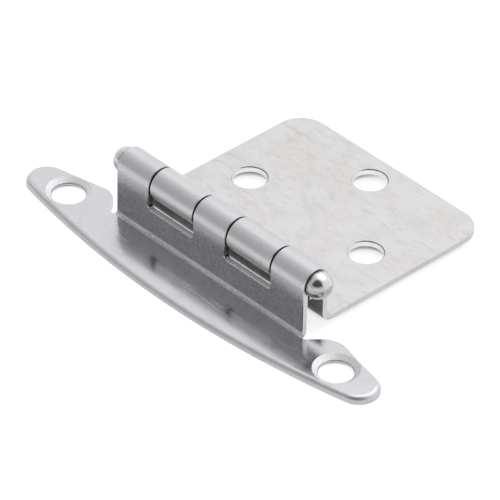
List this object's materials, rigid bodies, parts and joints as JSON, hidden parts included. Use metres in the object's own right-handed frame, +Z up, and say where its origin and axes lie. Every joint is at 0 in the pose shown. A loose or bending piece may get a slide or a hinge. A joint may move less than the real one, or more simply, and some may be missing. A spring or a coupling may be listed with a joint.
{
  "type": "surface mount hinge",
  "caption": "Free-swinging surface mount cabinet hinge with a boat-shaped wing leaf, a squared plate leaf and a domed pin.",
  "frame": {"origin": "midway between the wing leaf's two screw holes, on the plane of its seat", "axes": "+X along the pin, +Y from the wing leaf to the plate leaf, +Z up and away from the seat"},
  "size_m": [0.0704, 0.0446, 0.0114],
  "materials": {
    "wing_metal": "satin bright nickel plate",
    "plate_metal": "dull nickel plate, lightly scratched",
    "pin_metal": "polished nickel plate"
  },
  "bodies": {
    "wing": {"wing_leaf": "wing_metal", "hinge_pin": "pin_metal"},
    "plate": {"plate_leaf": "plate_metal"}
  },
  "joints": [
    {"name": "leaf_swing", "type": "hinge", "parent": "wing", "child": "plate", "pos_m": [0, 0.0041, 0.00895], "axis": [1, 0, 0], "range_deg": [-26, 245]}
  ]
}
